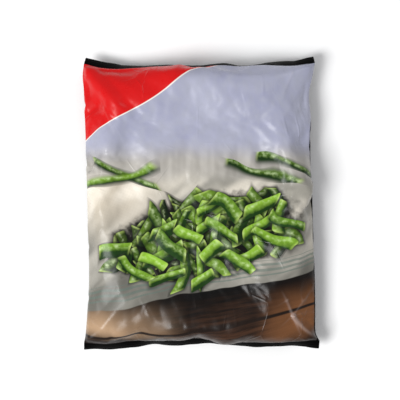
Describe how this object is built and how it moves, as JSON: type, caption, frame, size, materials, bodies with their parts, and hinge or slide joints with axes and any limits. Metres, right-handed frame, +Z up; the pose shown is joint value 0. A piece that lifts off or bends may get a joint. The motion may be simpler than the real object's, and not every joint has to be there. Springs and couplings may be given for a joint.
{
  "type": "frozen vegetable bag",
  "caption": "Filled pillow bag of printed plastic film, lying flat, with an end seal at head and foot and a lap seal down its back, over a frozen mass of sliced green beans.",
  "frame": {"origin": "bottom centre of the bag's box, on the flat underside of the back panel", "axes": "+Y from the foot seal to the head seal, +Z up out of the front panel, +X to the right as the front is read"},
  "size_m": [0.238, 0.293, 0.046],
  "materials": {
    "printed_film": "satin",
    "green_beans": "matte"
  },
  "bodies": {
    "root": {"film_bag": "printed_film", "bean_slices": "green_beans"}
  },
  "joints": []
}
